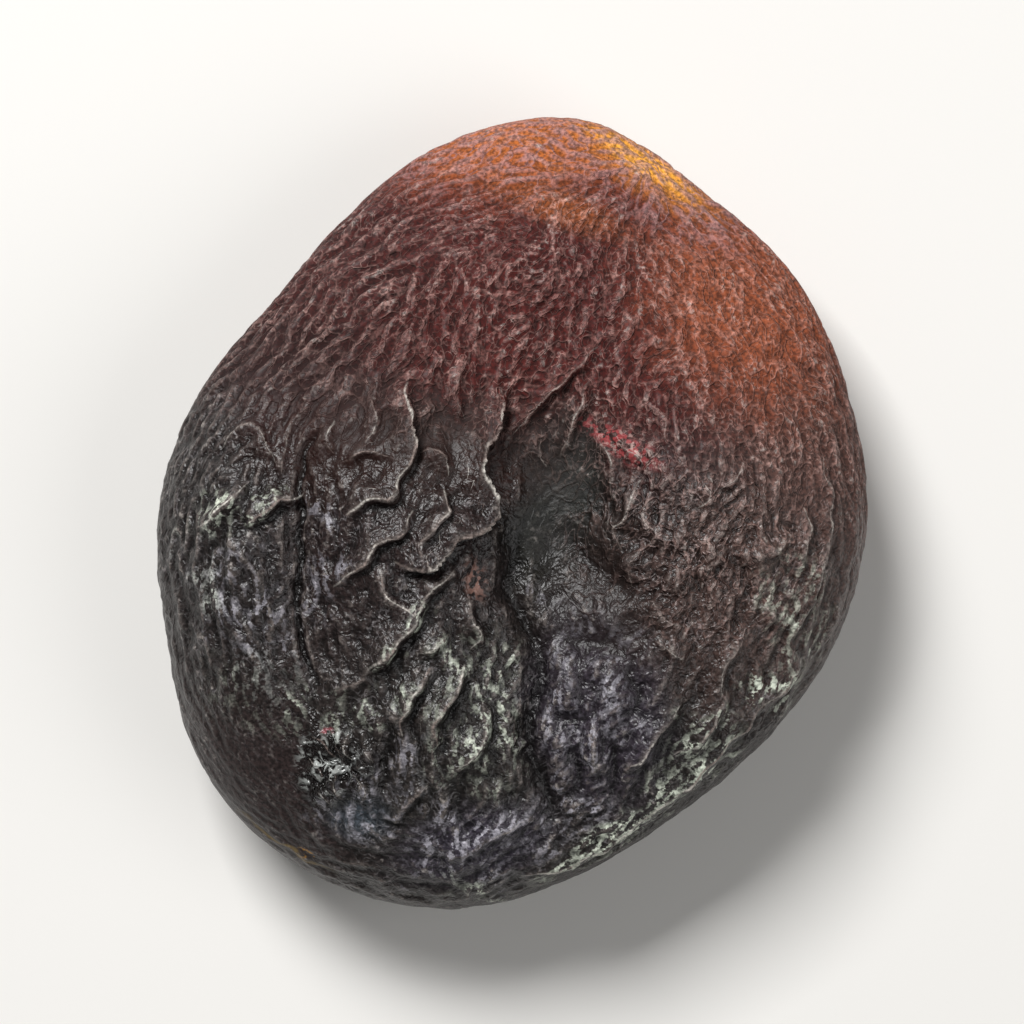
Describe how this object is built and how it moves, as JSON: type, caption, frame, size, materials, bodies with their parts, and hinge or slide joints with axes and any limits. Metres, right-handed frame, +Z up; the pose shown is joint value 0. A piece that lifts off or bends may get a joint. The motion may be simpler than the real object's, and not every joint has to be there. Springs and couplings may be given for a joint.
{
  "type": "dried apricot",
  "caption": "Whole sun-dried dark apricot lying on its broad side: a flattened wrinkled pouch of fruit with a collapsed middle, a rolled rim and one amber end.",
  "frame": {"origin": "on the surface that the fruit rests on, under the middle of its box", "axes": "+Z up, out of the wrinkled broad side; +Y along the fruit, towards its thin amber end; +X across it, towards its smooth cheek"},
  "size_m": [0.0366, 0.041, 0.0142],
  "materials": {
    "skin": "satin, finely wrinkled, near black at one end and amber orange at the other, with a pale dusty bloom"
  },
  "bodies": {
    "root": {"apricot": "skin"}
  },
  "joints": []
}
